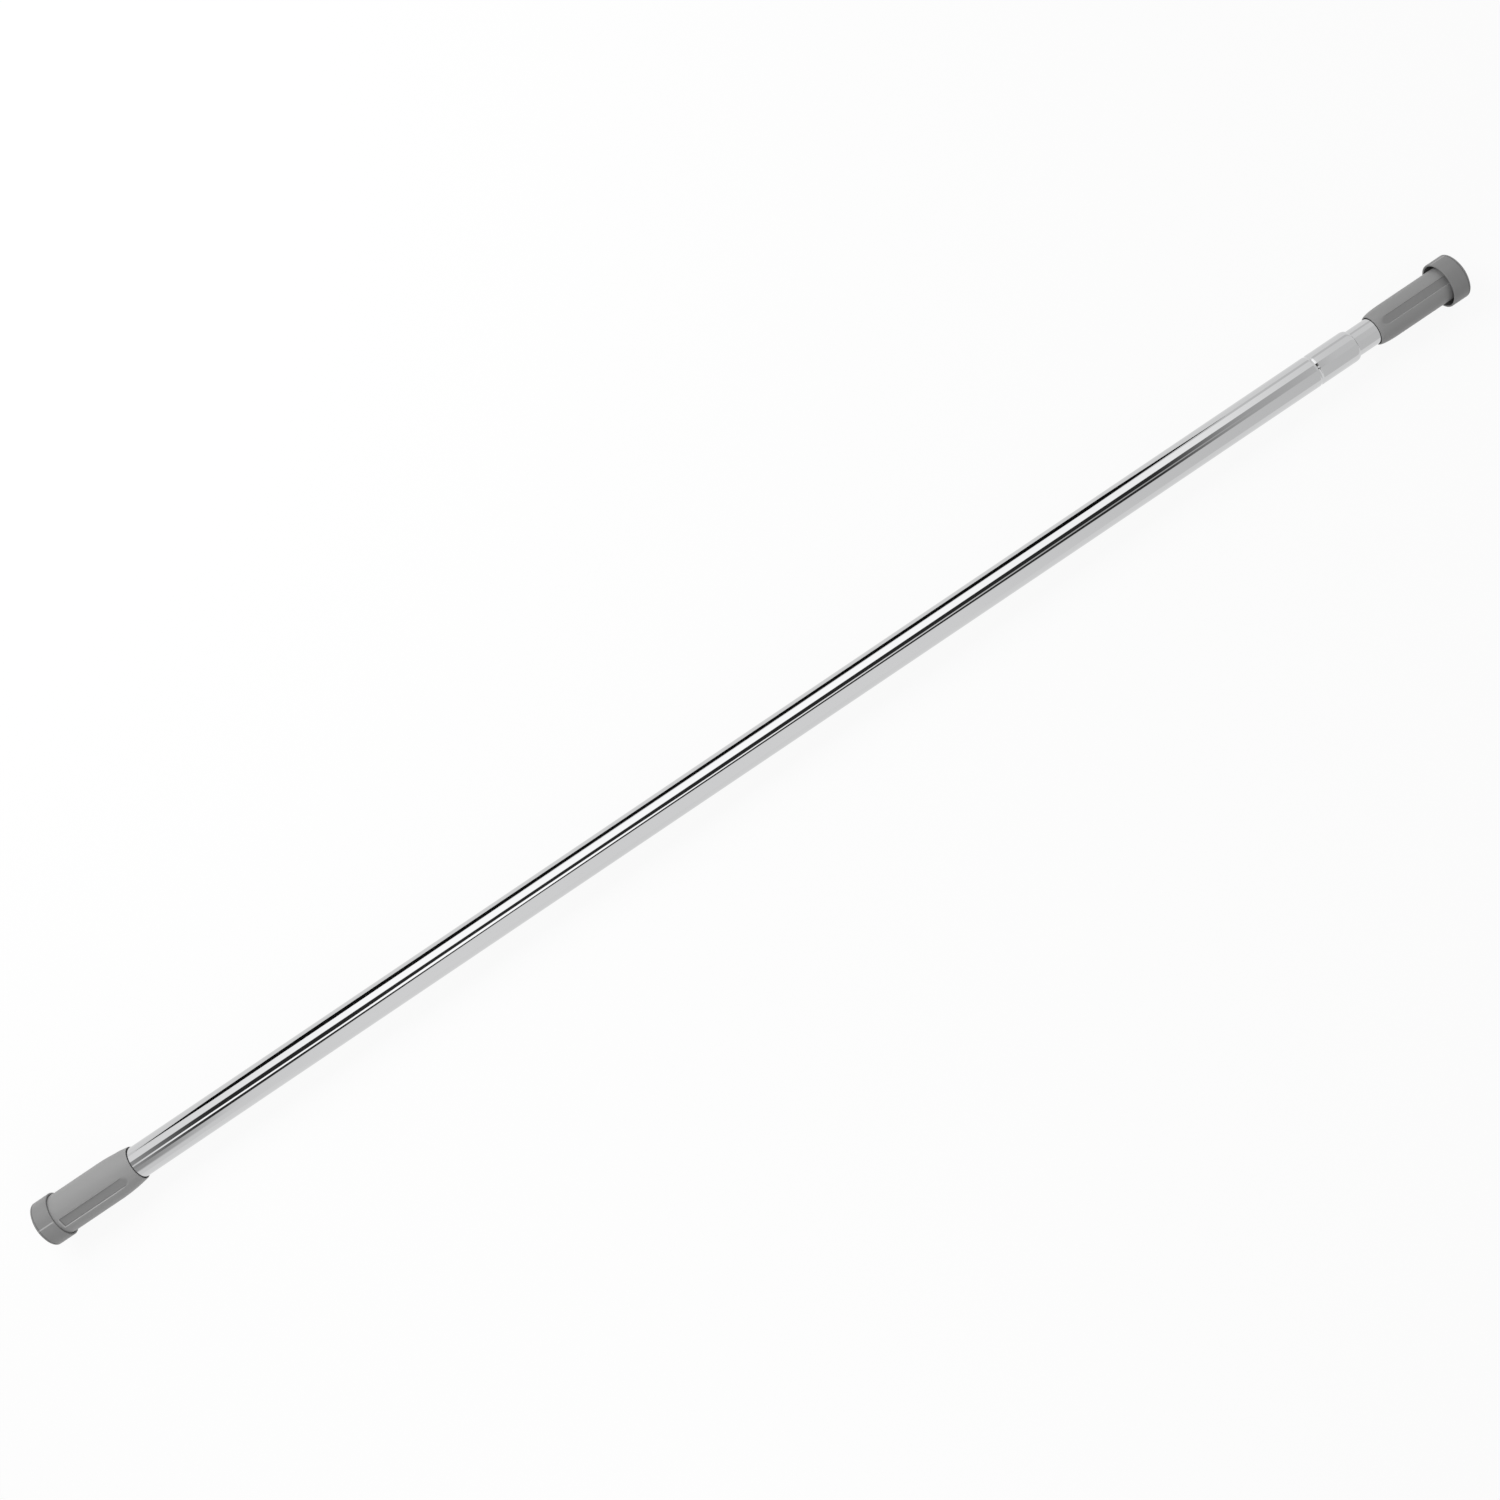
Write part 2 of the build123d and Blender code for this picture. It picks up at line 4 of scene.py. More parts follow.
import bmesh
import bpy
import numpy as np
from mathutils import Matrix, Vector


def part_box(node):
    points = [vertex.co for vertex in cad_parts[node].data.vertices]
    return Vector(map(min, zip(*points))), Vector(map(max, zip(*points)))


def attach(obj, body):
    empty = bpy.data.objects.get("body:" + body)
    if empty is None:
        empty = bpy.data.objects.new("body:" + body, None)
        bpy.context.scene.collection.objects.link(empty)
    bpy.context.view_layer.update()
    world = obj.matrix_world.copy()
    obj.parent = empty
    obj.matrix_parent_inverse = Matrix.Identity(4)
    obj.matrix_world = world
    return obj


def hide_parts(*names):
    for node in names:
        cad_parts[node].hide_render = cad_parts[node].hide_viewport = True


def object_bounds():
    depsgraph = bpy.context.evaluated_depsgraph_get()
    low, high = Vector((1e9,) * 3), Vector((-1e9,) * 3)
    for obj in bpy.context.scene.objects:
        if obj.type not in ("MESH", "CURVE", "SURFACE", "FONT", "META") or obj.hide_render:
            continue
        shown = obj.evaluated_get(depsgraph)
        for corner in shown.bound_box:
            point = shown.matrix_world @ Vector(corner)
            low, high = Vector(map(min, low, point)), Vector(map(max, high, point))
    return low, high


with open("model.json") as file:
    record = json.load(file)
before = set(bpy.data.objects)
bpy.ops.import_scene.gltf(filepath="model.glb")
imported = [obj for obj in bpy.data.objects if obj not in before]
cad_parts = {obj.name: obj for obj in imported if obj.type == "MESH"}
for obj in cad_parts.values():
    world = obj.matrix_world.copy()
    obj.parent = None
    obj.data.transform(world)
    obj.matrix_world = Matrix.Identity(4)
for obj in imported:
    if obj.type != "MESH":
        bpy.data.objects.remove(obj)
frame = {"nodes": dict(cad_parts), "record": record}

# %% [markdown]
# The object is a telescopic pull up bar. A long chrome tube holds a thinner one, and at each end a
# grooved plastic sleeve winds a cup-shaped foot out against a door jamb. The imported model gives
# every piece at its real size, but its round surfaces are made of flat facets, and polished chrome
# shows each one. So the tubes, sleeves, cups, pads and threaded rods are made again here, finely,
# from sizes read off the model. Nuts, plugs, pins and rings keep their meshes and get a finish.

MM = 0.001
cad_low, cad_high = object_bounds()


def span(node):
    """Where a node starts and ends along the bar, and its outer radius."""
    low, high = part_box(node)
    return low.x, high.x, max(high.y, high.z)


bar_start, bar_end = span("left_foot_pad")[0], span("right_foot_pad")[1]
print("bar from", round(bar_start, 4), "to", round(bar_end, 4))
FACE = {"left": bar_start, "right": bar_end}
INWARD = {"left": 1, "right": -1}  # the way from each foot's face towards the middle of the bar


def foot_first(node, side):
    """The two ends of a node along the bar, with the one nearer that side's foot first."""
    return span(node)[:2][:: INWARD[side]]


# %% [markdown]
# Node trees read badly as lists of nodes and links. A small class wraps a socket, so that sums on
# sockets are written as sums, and each one adds its Math node. The same class serves shaders and
# Geometry Nodes, because both kinds of tree use the same Math node.


# %% Sums on sockets
class Wire:
    """A socket of a node tree. An expression on wires adds the Math nodes that work it out."""

    def __init__(self, tree, socket):
        self.tree, self.socket = tree, socket

    def maths(self, operation, *others):
        return self.tree.add("ShaderNodeMath", {"operation": operation}, [self, *others])

    def __add__(self, other):
        return self.maths("ADD", other)

    def __sub__(self, other):
        return self.maths("SUBTRACT", other)

    def __mul__(self, other):
        return self.maths("MULTIPLY", other)

    def __truediv__(self, other):
        return self.maths("DIVIDE", other)

    def __rsub__(self, other):
        return self.tree.add("ShaderNodeMath", {"operation": "SUBTRACT"}, [other, self])

    def __rtruediv__(self, other):
        return self.tree.add("ShaderNodeMath", {"operation": "DIVIDE"}, [other, self])

    __radd__, __rmul__ = __add__, __mul__

    def __neg__(self):
        return self.maths("MULTIPLY", -1)

    def __abs__(self):
        return self.maths("ABSOLUTE")

    def least(self, other):
        return self.maths("MINIMUM", other)

    def most(self, other):
        return self.maths("MAXIMUM", other)

    def ease(self, start, end, low=0.0, high=1.0):
        """From low at start to high at end, level outside them and smooth between them."""
        inputs = [self, start, end, low, high]
        return self.tree.add("ShaderNodeMapRange", {"interpolation_type": "SMOOTHSTEP"}, inputs)

    def inside(self, start, end, soft):
        """1 between start and end, 0 outside them, turning over the distance soft."""
        return self.ease(start - soft, start + soft) * self.ease(end - soft, end + soft, 1, 0)


class Tree:
    """A node tree under construction."""

    def __init__(self, tree):
        self.tree = tree

    def add(self, kind, settings=None, inputs=(), output=0):
        """Adds a node, makes its settings, then fills its sockets by order or by name."""
        node = self.tree.nodes.new(kind)
        for name, value in (settings or {}).items():
            setattr(node, name, value)
        pairs = inputs.items() if isinstance(inputs, dict) else enumerate(inputs)
        for key, value in pairs:
            if isinstance(value, Wire):
                self.tree.links.new(value.socket, node.inputs[key])
            elif value is not None:
                node.inputs[key].default_value = value
        return Wire(self, node.outputs[output]) if node.outputs else node


# %% [markdown]
# Every finish is a Principled surface. What varies over it comes from noise on Object coordinates,
# which are metres along the bar here, so a scale of 1000 gives millimetre detail. Noise stretched
# along the bar makes the drawn and wiped look of tubing. Fine bump makes the spark-eroded skin of
# moulded plastic, which is what keeps a grey moulding from looking like paint.


# %% Finishes: shared steps
def start_finish(name):
    """A new material, its tree, and Object coordinates to hang patterns on."""
    material = bpy.data.materials.new(name)
    material.use_nodes = True
    material.node_tree.nodes.clear()
    tree = Tree(material.node_tree)
    place = tree.add("ShaderNodeTexCoord", output=3)
    return material, tree, place


def noise(tree, place, scale, detail=3.0, stretch=(1, 1, 1)):
    """Noise from 0 to 1. stretch multiplies the coordinates first."""
    moved = tree.add("ShaderNodeMapping", {"vector_type": "POINT"}, {0: place, 3: stretch})
    inputs = {"Vector": moved, "Scale": scale, "Detail": detail, "Roughness": 0.55}
    return tree.add("ShaderNodeTexNoise", {}, inputs)


def tint(tree, amount, dark, light):
    """A colour between dark and light. Each is three numbers, or the wire of a colour."""
    settings = {"data_type": "RGBA", "blend_type": "MIX"}
    ends = [colour if isinstance(colour, Wire) else (*colour, 1) for colour in (dark, light)]
    return tree.add("ShaderNodeMix", settings, {0: amount, 6: ends[0], 7: ends[1]}, output=2)


def bumped(tree, height, distance, strength=1.0):
    inputs = {"Strength": strength, "Distance": distance, "Height": height}
    return tree.add("ShaderNodeBump", {}, inputs)


def end_finish(material, tree, **values):
    """Closes the tree with a Principled surface. Names are its sockets', with _ for a space."""
    inputs = {name.replace("_", " "): value for name, value in values.items()}
    surface = tree.add("ShaderNodeBsdfPrincipled", {}, inputs)
    tree.add("ShaderNodeOutputMaterial", {}, {"Surface": surface})
    return material


# %% [markdown]
# Chromium reflects a little over half of the light that meets it, which is why chrome looks darker
# than silver. The plating is nearly a mirror. Two things keep it from looking like a computer's
# mirror: faint smears along the tube from wiping, which change only its roughness, and a very long
# shallow ripple in the drawn tube underneath, which makes the reflected edges wander a little.


# %% Finish: chrome plating
def chrome():
    material, tree, place = start_finish("polished_chrome")
    smears = noise(tree, place, 60, 4, (0.15, 1, 1))
    bloom = noise(tree, place, 9, 2, (0.4, 1, 1))
    ripple = noise(tree, place, 14, 1, (0.5, 1, 1))
    return end_finish(
        material,
        tree,
        Base_Color=tint(tree, bloom, (0.585, 0.59, 0.595), (0.62, 0.62, 0.625)),
        Metallic=1.0,
        Roughness=smears * 0.04 + 0.025,
        Normal=bumped(tree, ripple, 0.0001),
    )


# %% [markdown]
# The sleeves and the feet are moulded in a plain mid grey. The sleeve's plastic is a little softer
# and lighter than the foot's. Both get a fine grain, slow clouding in the colour where the melt
# flowed, and a roughness that rises and falls with the grain. A painted_light value on the mesh
# paints light and shade into the colour: raised lines get a painted highlight and are smoother,
# and sunk floors, walls and lines get painted shade and are rougher.


# %% Finish: moulded grey plastic
# The colour is mixed towards these multiples of the plain colour: painted shade where painted_light
# is -1, a painted highlight where it is 1.
PAINTED_SHADE_FACTOR, PAINTED_HIGHLIGHT_FACTOR = 0.35, 1.7  # of the plain colour, at a relief of -1 and of 1


def grey_plastic(name, dark, light, rough, grain):
    material, tree, place = start_finish(name)
    cloud = noise(tree, place, 22, 4)
    skin = noise(tree, place, grain, 2)
    flow = noise(tree, place, 160, 3, (0.2, 1, 1))
    painted_light = tree.add("ShaderNodeAttribute", {"attribute_name": "painted_light"}, output=2)
    colour = tint(tree, cloud * 0.7 + flow * 0.3, dark, light)
    # Painted light: below 0 the colour is darkened into painted shade, above 0 it is lightened into
    # a painted highlight.
    colour = tint(tree, (-painted_light).most(0), colour, [shade * PAINTED_SHADE_FACTOR for shade in dark])
    colour = tint(tree, painted_light.most(0), colour, [shade * PAINTED_HIGHLIGHT_FACTOR for shade in light])
    return end_finish(
        material,
        tree,
        Base_Color=colour,
        Roughness=skin * 0.12 + rough - painted_light * 0.08,
        IOR=1.52,
        Normal=bumped(tree, skin, 0.00002, 0.8),
    )


# %% [markdown]
# The rest is what a hand never touches: black rubber, natural and filled nylon, turned brass and
# zinc-plated steel. Turned and drawn metal shows fine rings or lines, made by noise that is
# squeezed along one axis. Zinc plate has a faint patchy bloom between warm and cool.


# %% Finish: rubber, nylon, brass and zinc plate
def soft_rubber():
    material, tree, place = start_finish("black_rubber")
    dust = noise(tree, place, 300, 5)
    skin = noise(tree, place, 2600, 2)
    return end_finish(
        material,
        tree,
        Base_Color=tint(tree, dust.ease(0.45, 0.8), (0.022, 0.022, 0.023), (0.055, 0.054, 0.052)),
        Roughness=dust * 0.2 + 0.6,
        Normal=bumped(tree, skin, 0.00003),
    )


def nylon(name, dark, light):
    material, tree, place = start_finish(name)
    cloud = noise(tree, place, 70, 3)
    return end_finish(
        material,
        tree,
        Base_Color=tint(tree, cloud, dark, light),
        Roughness=cloud * 0.15 + 0.38,
        Normal=bumped(tree, noise(tree, place, 1800, 2), 0.00002),
    )


def turned_metal(name, dark, light, rough):
    material, tree, place = start_finish(name)
    rings = noise(tree, place, 500, 3, (4, 0.3, 0.3))
    bloom = noise(tree, place, 90, 3)
    return end_finish(
        material,
        tree,
        Base_Color=tint(tree, bloom, dark, light),
        Metallic=1.0,
        Roughness=rings * 0.18 + rough,
        Normal=bumped(tree, rings, 0.00002),
    )


finishes = {
    "chrome_tube": chrome(),
    "grey_grip": grey_plastic("grey_grip_plastic", (0.245,) * 3, (0.275,) * 3, 0.42, 1500),
    "grey_cup": grey_plastic("grey_foot_plastic", (0.198,) * 3, (0.222,) * 3, 0.40, 1700),
    "dark_rubber": soft_rubber(),
    "zinc_steel": turned_metal("zinc_plate", (0.50, 0.51, 0.53), (0.62, 0.61, 0.57), 0.22),
    "brass_nut": turned_metal("turned_brass", (0.58, 0.41, 0.17), (0.70, 0.52, 0.24), 0.20),
    "white_nylon": nylon("natural_nylon", (0.66, 0.64, 0.58), (0.76, 0.75, 0.70)),
    "black_nylon": nylon("filled_nylon", (0.020, 0.020, 0.022), (0.034, 0.034, 0.036)),
}
slot_of = {part["node"]: part["material_slot"] for part in frame["record"]["subparts"]}
for node, piece in frame["nodes"].items():
    piece.data.materials.clear()
    piece.data.materials.append(finishes[slot_of[node]])
print(len(finishes), "finishes on", len(slot_of), "nodes")

# %% [markdown]
# Almost everything on this bar is turned about one axis, so one helper does most of the modelling.
# It takes the outline as corners, each with the radius that rounds it, and turns it about the bar.
# An outline that closes on itself makes a ring-shaped solid with no poles. One that starts and ends
# on the axis gets one point there, so that it closes too. Real edges are never sharp, and it is the
# small rounding that catches a line of light along each rim.


# %% Helpers: outlines
def rounded(corners, closed=True, steps=5):
    """Points of an outline given as (x, r, rounding) corners."""
    points, count = [], len(corners)
    for i, (x, r, rounding) in enumerate(corners):
        here = np.array((x, r))
        before = np.array(corners[i - 1][:2]) - here
        after = np.array(corners[(i + 1) % count][:2]) - here
        if not rounding or (not closed and i in (0, count - 1)):
            points.append((x, r))
            continue
        before, after = before / np.linalg.norm(before), after / np.linalg.norm(after)
        half = np.arccos(np.clip(before @ after, -1, 1)) / 2
        centre = here + (before + after) / np.linalg.norm(before + after) * rounding / sin(half)
        first = here + before * rounding / np.tan(half) - centre
        last = here + after * rounding / np.tan(half) - centre
        sweep = atan2(first[0] * last[1] - first[1] * last[0], first @ last)
        for k in range(steps + 1):
            turn = sweep * k / steps
            points.append(
                (
                    centre[0] + first[0] * cos(turn) - first[1] * sin(turn),
                    centre[1] + first[0] * sin(turn) + first[1] * cos(turn),
                )
            )
    return points


def along(start, end, pieces):
    """Evenly spaced values from start to end, both included."""
    return list(np.linspace(start, end, pieces + 1))


# %% Helpers: turning an outline about the bar
def evenly(count):
    """Angles all round, with 0 straight up and a positive turn towards +Y."""
    return [tau * k / count for k in range(count)]


def with_lines(count, places, spread):
    """Even angles, with extra ones at places and spread either side of each."""
    extra = [(place + k * spread) % tau for place in places for k in (-2, -1, 0, 1, 2)]
    spare = [a for a in evenly(count) if min(abs(a - b) for b in extra) > spread / 2]
    return sorted(spare + extra)


def turned(name, outline, angles, swell=None):
    """A closed solid from an outline of (x, r) points. swell(x, r, angle) adds to the radius."""
    rings, points, faces = [], [], []
    for x, r in outline:
        if r < 1e-9:
            rings.append([len(points)] * len(angles))
            points.append((x, 0, 0))
            continue
        rings.append(list(range(len(points), len(points) + len(angles))))
        for angle in angles:
            reach = r + (swell(x, r, angle) if swell else 0)
            points.append((x, reach * sin(angle), reach * cos(angle)))
    on_axis = outline[0][1] < 1e-9
    pairs = zip(rings, rings[1:]) if on_axis else zip(rings, rings[1:] + rings[:1])
    for a, b in pairs:
        for k in range(len(angles)):
            after = (k + 1) % len(angles)
            corners = dict.fromkeys((a[k], a[after], b[after], b[k]))
            if len(corners) > 2:
                faces.append(tuple(corners))
    mesh = bpy.data.meshes.new(name)
    mesh.from_pydata(points, [], faces)
    return solid(name, mesh)


def solid(name, mesh):
    """An object for a closed mesh, with its faces outwards and its sharp edges kept."""
    shape = bmesh.new()
    shape.from_mesh(mesh)
    bmesh.ops.recalc_face_normals(shape, faces=shape.faces)
    shape.to_mesh(mesh)
    shape.free()
    mesh.shade_smooth()
    mesh.set_sharp_from_angle(angle=radians(32))
    piece = bpy.data.objects.new(name, mesh)
    bpy.context.scene.collection.objects.link(piece)
    return piece


def settled(piece, *tools):
    """The piece with its modifiers worked into a plain mesh. Tools they used are thrown away."""
    evaluated = piece.evaluated_get(bpy.context.evaluated_depsgraph_get())
    mesh = bpy.data.meshes.new_from_object(evaluated)
    name = piece.name
    for used in (piece, *tools):
        blank = used.data
        bpy.data.objects.remove(used)
        bpy.data.meshes.remove(blank)
    mesh.name = name
    return solid(name, mesh)


bodies = frame["record"]["behaviour"]["bodies"]
body_of = {node: body for body, nodes in bodies.items() for node in nodes}


def stand_for(piece, node):
    """The finished piece takes the place, the body and the finish of its CAD node."""
    piece.data.materials.clear()
    piece.data.materials.append(finishes[slot_of[node]])
    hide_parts(node)
    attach(piece, body_of[node])
    print(piece.name, len(piece.data.polygons), "faces")


# %% [markdown]
# Both tubes are plain turned walls with a groove rolled into them. The groove is an arc that dips
# inwards, and the wall keeps its thickness through it. The outer tube's mouth is rolled in to meet
# the inner tube, which hides the cut edge and keeps the guide bush in. A long straight stretch
# needs no rings along it, but it gets enough angles for the chrome to look round.

# %% Sizes of the tubes
WALL = 1.2 * MM
RING_GROOVE = {"half": 1.5 * MM, "depth": 0.8 * MM}  # where a sleeve's retaining ring lies
MOUTH_GROOVE = {"half": 1.8 * MM, "depth": 0.5 * MM}  # the gentler one by the mouth
MOUTH_ROLL = 4.5 * MM
MOUTH_GAP = 0.3 * MM
BUSH_END_GAP = 0.5 * MM  # between the mouth's groove and the bush it holds
SHADING_MARGIN = 0.3 * MM
TUBE_ANGLES = 160
PIN_HOLE_R, CROSS_PIN_HOLE_R, HOLE_MARGIN = 1.55 * MM, 2.05 * MM, 3 * MM

outer_start, mouth_x, outer_r = span("outer_tube")
inner_start, inner_end, inner_r = span("inner_tube")
bush_start = span("mouth_bush")[0]


def middle(node):
    low, high, _ = span(node)
    return (low + high) / 2


mouth_groove = bush_start - BUSH_END_GAP - MOUTH_GROOVE["half"]


# %% Tubes
def groove(place, surface_r, half, depth, steps=12):
    """Points of a rolled groove: an arc that dips by its depth, and a ring just outside each edge.

    Those two rings keep the groove's slope from shading the long straight wall beside it.
    """
    arc_r = (half**2 + depth**2) / (2 * depth)
    reach = asin(half / arc_r)
    yield place - half - SHADING_MARGIN, surface_r
    for k in range(steps + 1):
        turn = reach * (2 * k / steps - 1)
        yield place + arc_r * sin(turn), surface_r - depth + arc_r * (1 - cos(turn))
    yield place + half + SHADING_MARGIN, surface_r


def rolled_mouth(length, height, lip_r, steps=10):
    """Points of the quarter ellipse that closes the outer tube's mouth down to its lip."""
    for k in range(steps + 1):
        turn = pi / 2 * k / steps
        yield mouth_x - MOUTH_ROLL + length * sin(turn), lip_r + height * cos(turn)


def drilled(piece, places):
    """Drills holes of the given radius right through a tube, from top to bottom."""
    drills = bmesh.new()
    for x, radius in places:
        made = bmesh.ops.create_cone(
            drills, cap_ends=True, segments=32, radius1=radius, radius2=radius, depth=4 * outer_r
        )
        bmesh.ops.translate(drills, vec=(x, 0, 0), verts=made["verts"])
    tool_mesh = bpy.data.meshes.new("drills")
    drills.to_mesh(tool_mesh)
    drills.free()
    tool = bpy.data.objects.new("drills", tool_mesh)
    bpy.context.scene.collection.objects.link(tool)
    modifier = piece.modifiers.new("holes", "BOOLEAN")
    modifier.operation, modifier.solver, modifier.object = "DIFFERENCE", "EXACT", tool
    return settled(piece, tool)


def beside(place):
    """Rings either side of a hole, so that drilling it disturbs only a short length."""
    return [place - HOLE_MARGIN, place + HOLE_MARGIN]


def outer_tube():
    pins = middle("left_plug_pins")
    bore, lip_r = outer_r - WALL, inner_r + MOUTH_GAP
    skin = [(x, outer_r) for x in (outer_start, *beside(pins))]
    lining = [(x, bore) for x in (outer_start, *beside(pins))]
    for place, size in ((middle("left_snap_ring"), RING_GROOVE), (mouth_groove, MOUTH_GROOVE)):
        skin += groove(place, outer_r, **size)
        lining += groove(place, bore, **size)
    skin += rolled_mouth(MOUTH_ROLL, outer_r - lip_r, lip_r)
    lining += rolled_mouth(MOUTH_ROLL - WALL, bore - lip_r, lip_r)
    tube = turned("chrome_outer_tube", skin + lining[::-1], evenly(TUBE_ANGLES))
    stand_for(drilled(tube, [(pins, PIN_HOLE_R)]), "outer_tube")


def inner_tube():
    cross_pin, pins = middle("lock_cross_pin"), middle("right_plug_pins")
    place, bore = middle("right_snap_ring"), inner_r - WALL
    near, far = [inner_start, *beside(cross_pin)], [*beside(pins), inner_end]
    skin, lining = (
        [(x, r) for x in near] + list(groove(place, r, **RING_GROOVE)) + [(x, r) for x in far]
        for r in (inner_r, bore)
    )
    tube = turned("chrome_inner_tube", skin + lining[::-1], evenly(TUBE_ANGLES))
    stand_for(drilled(tube, [(cross_pin, CROSS_PIN_HOLE_R), (pins, PIN_HOLE_R)]), "inner_tube")


outer_tube()
inner_tube()

# %% [markdown]
# A grip sleeve is a turned blank with flat-floored grooves running along it. The rule for a groove
# is simple: a point of the skin that is inside the groove's width and length drops to the floor.
# That suits Geometry Nodes, because one tree cuts both sleeves, and the count, width, depth, first
# angle, start and end are inputs that can be changed on the modifier. The blank is given rings and
# columns just where the groove's edges will fall, so the walls come out clean.


# %% Geometry Nodes: cutting the grip grooves
def tree_with_inputs(name, numbers):
    """A geometry node group with number inputs, and its tree and the wires of its inputs."""
    group = bpy.data.node_groups.new(name, "GeometryNodeTree")
    group.interface.new_socket("Geometry", in_out="INPUT", socket_type="NodeSocketGeometry")
    for label, value in numbers.items():
        kind = "NodeSocketInt" if isinstance(value, int) else "NodeSocketFloat"
        group.interface.new_socket(label, in_out="INPUT", socket_type=kind).default_value = value
    group.interface.new_socket("Finish", in_out="INPUT", socket_type="NodeSocketMaterial")
    group.interface.new_socket("Geometry", in_out="OUTPUT", socket_type="NodeSocketGeometry")
    tree = Tree(group)
    tree.add("NodeGroupInput")
    entry = group.nodes[-1]
    wires = {socket.name: Wire(tree, socket) for socket in entry.outputs if socket.name}
    return group, tree, wires


def close_tree(tree, wires, geometry):
    """Ends a tree in real geometry with its finish set."""
    real = tree.add("GeometryNodeRealizeInstances", {}, [geometry])
    shown = tree.add("GeometryNodeSetMaterial", {}, {"Geometry": real, "Material": wires["Finish"]})
    tree.add("NodeGroupOutput", {}, [shown])


def position_parts(tree):
    place = tree.add("GeometryNodeInputPosition")
    return [tree.add("ShaderNodeSeparateXYZ", {}, [place], output=k) for k in range(3)]


# Painted light for each part of a groove, and the share of the full drop where that part lies:
# painted shade on the floor and at the foot of the walls, a painted highlight along the top edges.
PAINTED_FLOOR_SHADE, PAINTED_WALL_SHADE, PAINTED_EDGE_HIGHLIGHT = -0.22, -1.0, 0.45
FLOOR_SHARE, WALL_SHARE, EDGE_SHARE = (0.3, 0.9), (0.68, 0.97), (0.08, 0.62)
SHARE_SOFT = 0.05
REAL_CUT = (0.2 * MM, 0.5 * MM)  # shallower than this, as in the taper, a groove isn't marked


def grip_groove_tree():
    numbers = {"Grooves": 3, "First Angle": 0.0, "Width": 0.008, "Floor Radius": 0.019}
    numbers |= {"Start": 0.02, "End": 0.1, "Edge": 0.0003, "Bore Radius": 0.016}
    group, tree, wires = tree_with_inputs("grip_grooves", numbers)
    x, y, z = position_parts(tree)
    radius = (y * y + z * z).maths("SQRT")
    angle = y.maths("ARCTAN2", z)
    pitch = tau / wires["Grooves"]
    turn = (angle - wires["First Angle"] + pitch / 2).maths("FLOORED_MODULO", pitch) - pitch / 2
    across, height = radius * turn.maths("SINE"), radius * turn.maths("COSINE")
    edge, half = wires["Edge"], wires["Width"] / 2
    in_width = abs(across).ease(half - edge, half + edge, 1, 0)
    in_length = x.ease(wires["Start"] - edge, wires["Start"] + edge)
    in_length = in_length * x.ease(wires["End"] - edge, wires["End"] + edge, 1, 0)
    on_skin = radius.maths("GREATER_THAN", wires["Bore Radius"])
    share = in_width * in_length * on_skin
    depth = (height - wires["Floor Radius"]).most(0)
    drop = depth * share
    back = angle - turn
    moved = [x * 0, -(drop * back.maths("SINE")), -(drop * back.maths("COSINE"))]
    offset = tree.add("ShaderNodeCombineXYZ", {}, moved)
    is_cut = depth.ease(*REAL_CUT)
    # Painted shade on the floor and at the foot of the walls, and a painted highlight along the top
    # edges, stand in for the shadow and the light that the groove's shape catches.
    floor = share.ease(*FLOOR_SHARE) * PAINTED_FLOOR_SHADE
    wall_foot_shade = share.inside(*WALL_SHARE, SHARE_SOFT) * (PAINTED_WALL_SHADE - PAINTED_FLOOR_SHADE)
    top_edge_highlight = share.inside(*EDGE_SHARE, SHARE_SOFT) * (PAINTED_EDGE_HIGHLIGHT - PAINTED_FLOOR_SHADE * 0.5)
    painted_light = (floor + wall_foot_shade + top_edge_highlight) * is_cut
    # Fields read the points as they are at that node, so the painted light is stored before the
    # cut.
    inputs = {"Geometry": wires["Geometry"], "Name": "painted_light", "Value": painted_light}
    settings = {"data_type": "FLOAT", "domain": "POINT"}
    marked = tree.add("GeometryNodeStoreNamedAttribute", settings, inputs)
    cut = tree.add("GeometryNodeSetPosition", {}, {"Geometry": marked, "Offset": offset})
    close_tree(tree, wires, cut)
    return group


def shaped(piece, group, finish, **values):
    """Runs a tree on a blank with these inputs, and keeps the result as a plain mesh."""
    modifier = piece.modifiers.new(group.name, "NODES")
    modifier.node_group = group
    for item in group.interface.items_tree:
        if item.in_out == "INPUT" and item.name.replace(" ", "_") in values:
            modifier[item.identifier] = values[item.name.replace(" ", "_")]
        elif item.in_out == "INPUT" and item.name == "Finish":
            modifier[item.identifier] = finish
    return settled(piece)


groove_tree = grip_groove_tree()
print("groove tree has", len(groove_tree.nodes), "nodes")

# %% [markdown]
# The two sleeves differ in size and in shape. The left one runs out in a long gentle taper on the
# large tube. The right one has a short blunt nose on the thin tube. Both have three grooves, and
# the grooves sit at different angles, because each sleeve stops wherever it was last wound.

# %% Sizes of the sleeves
SLEEVE_GAP = 0.3 * MM
GROOVE_COUNT = 3
WEB, WEB_R = 3.0 * MM, 7.0 * MM
POCKET_R = 13.72 * MM
SLEEVE_ANGLES = 144
BACK_EDGE, MOUTH_EDGE = 0.6 * MM, 0.25 * MM
GROOVE_OVERRUN = 1 * MM  # past the mouth, so that a groove runs out through it
BORE_MARGIN = 0.2 * MM  # keeps the cut off the bore

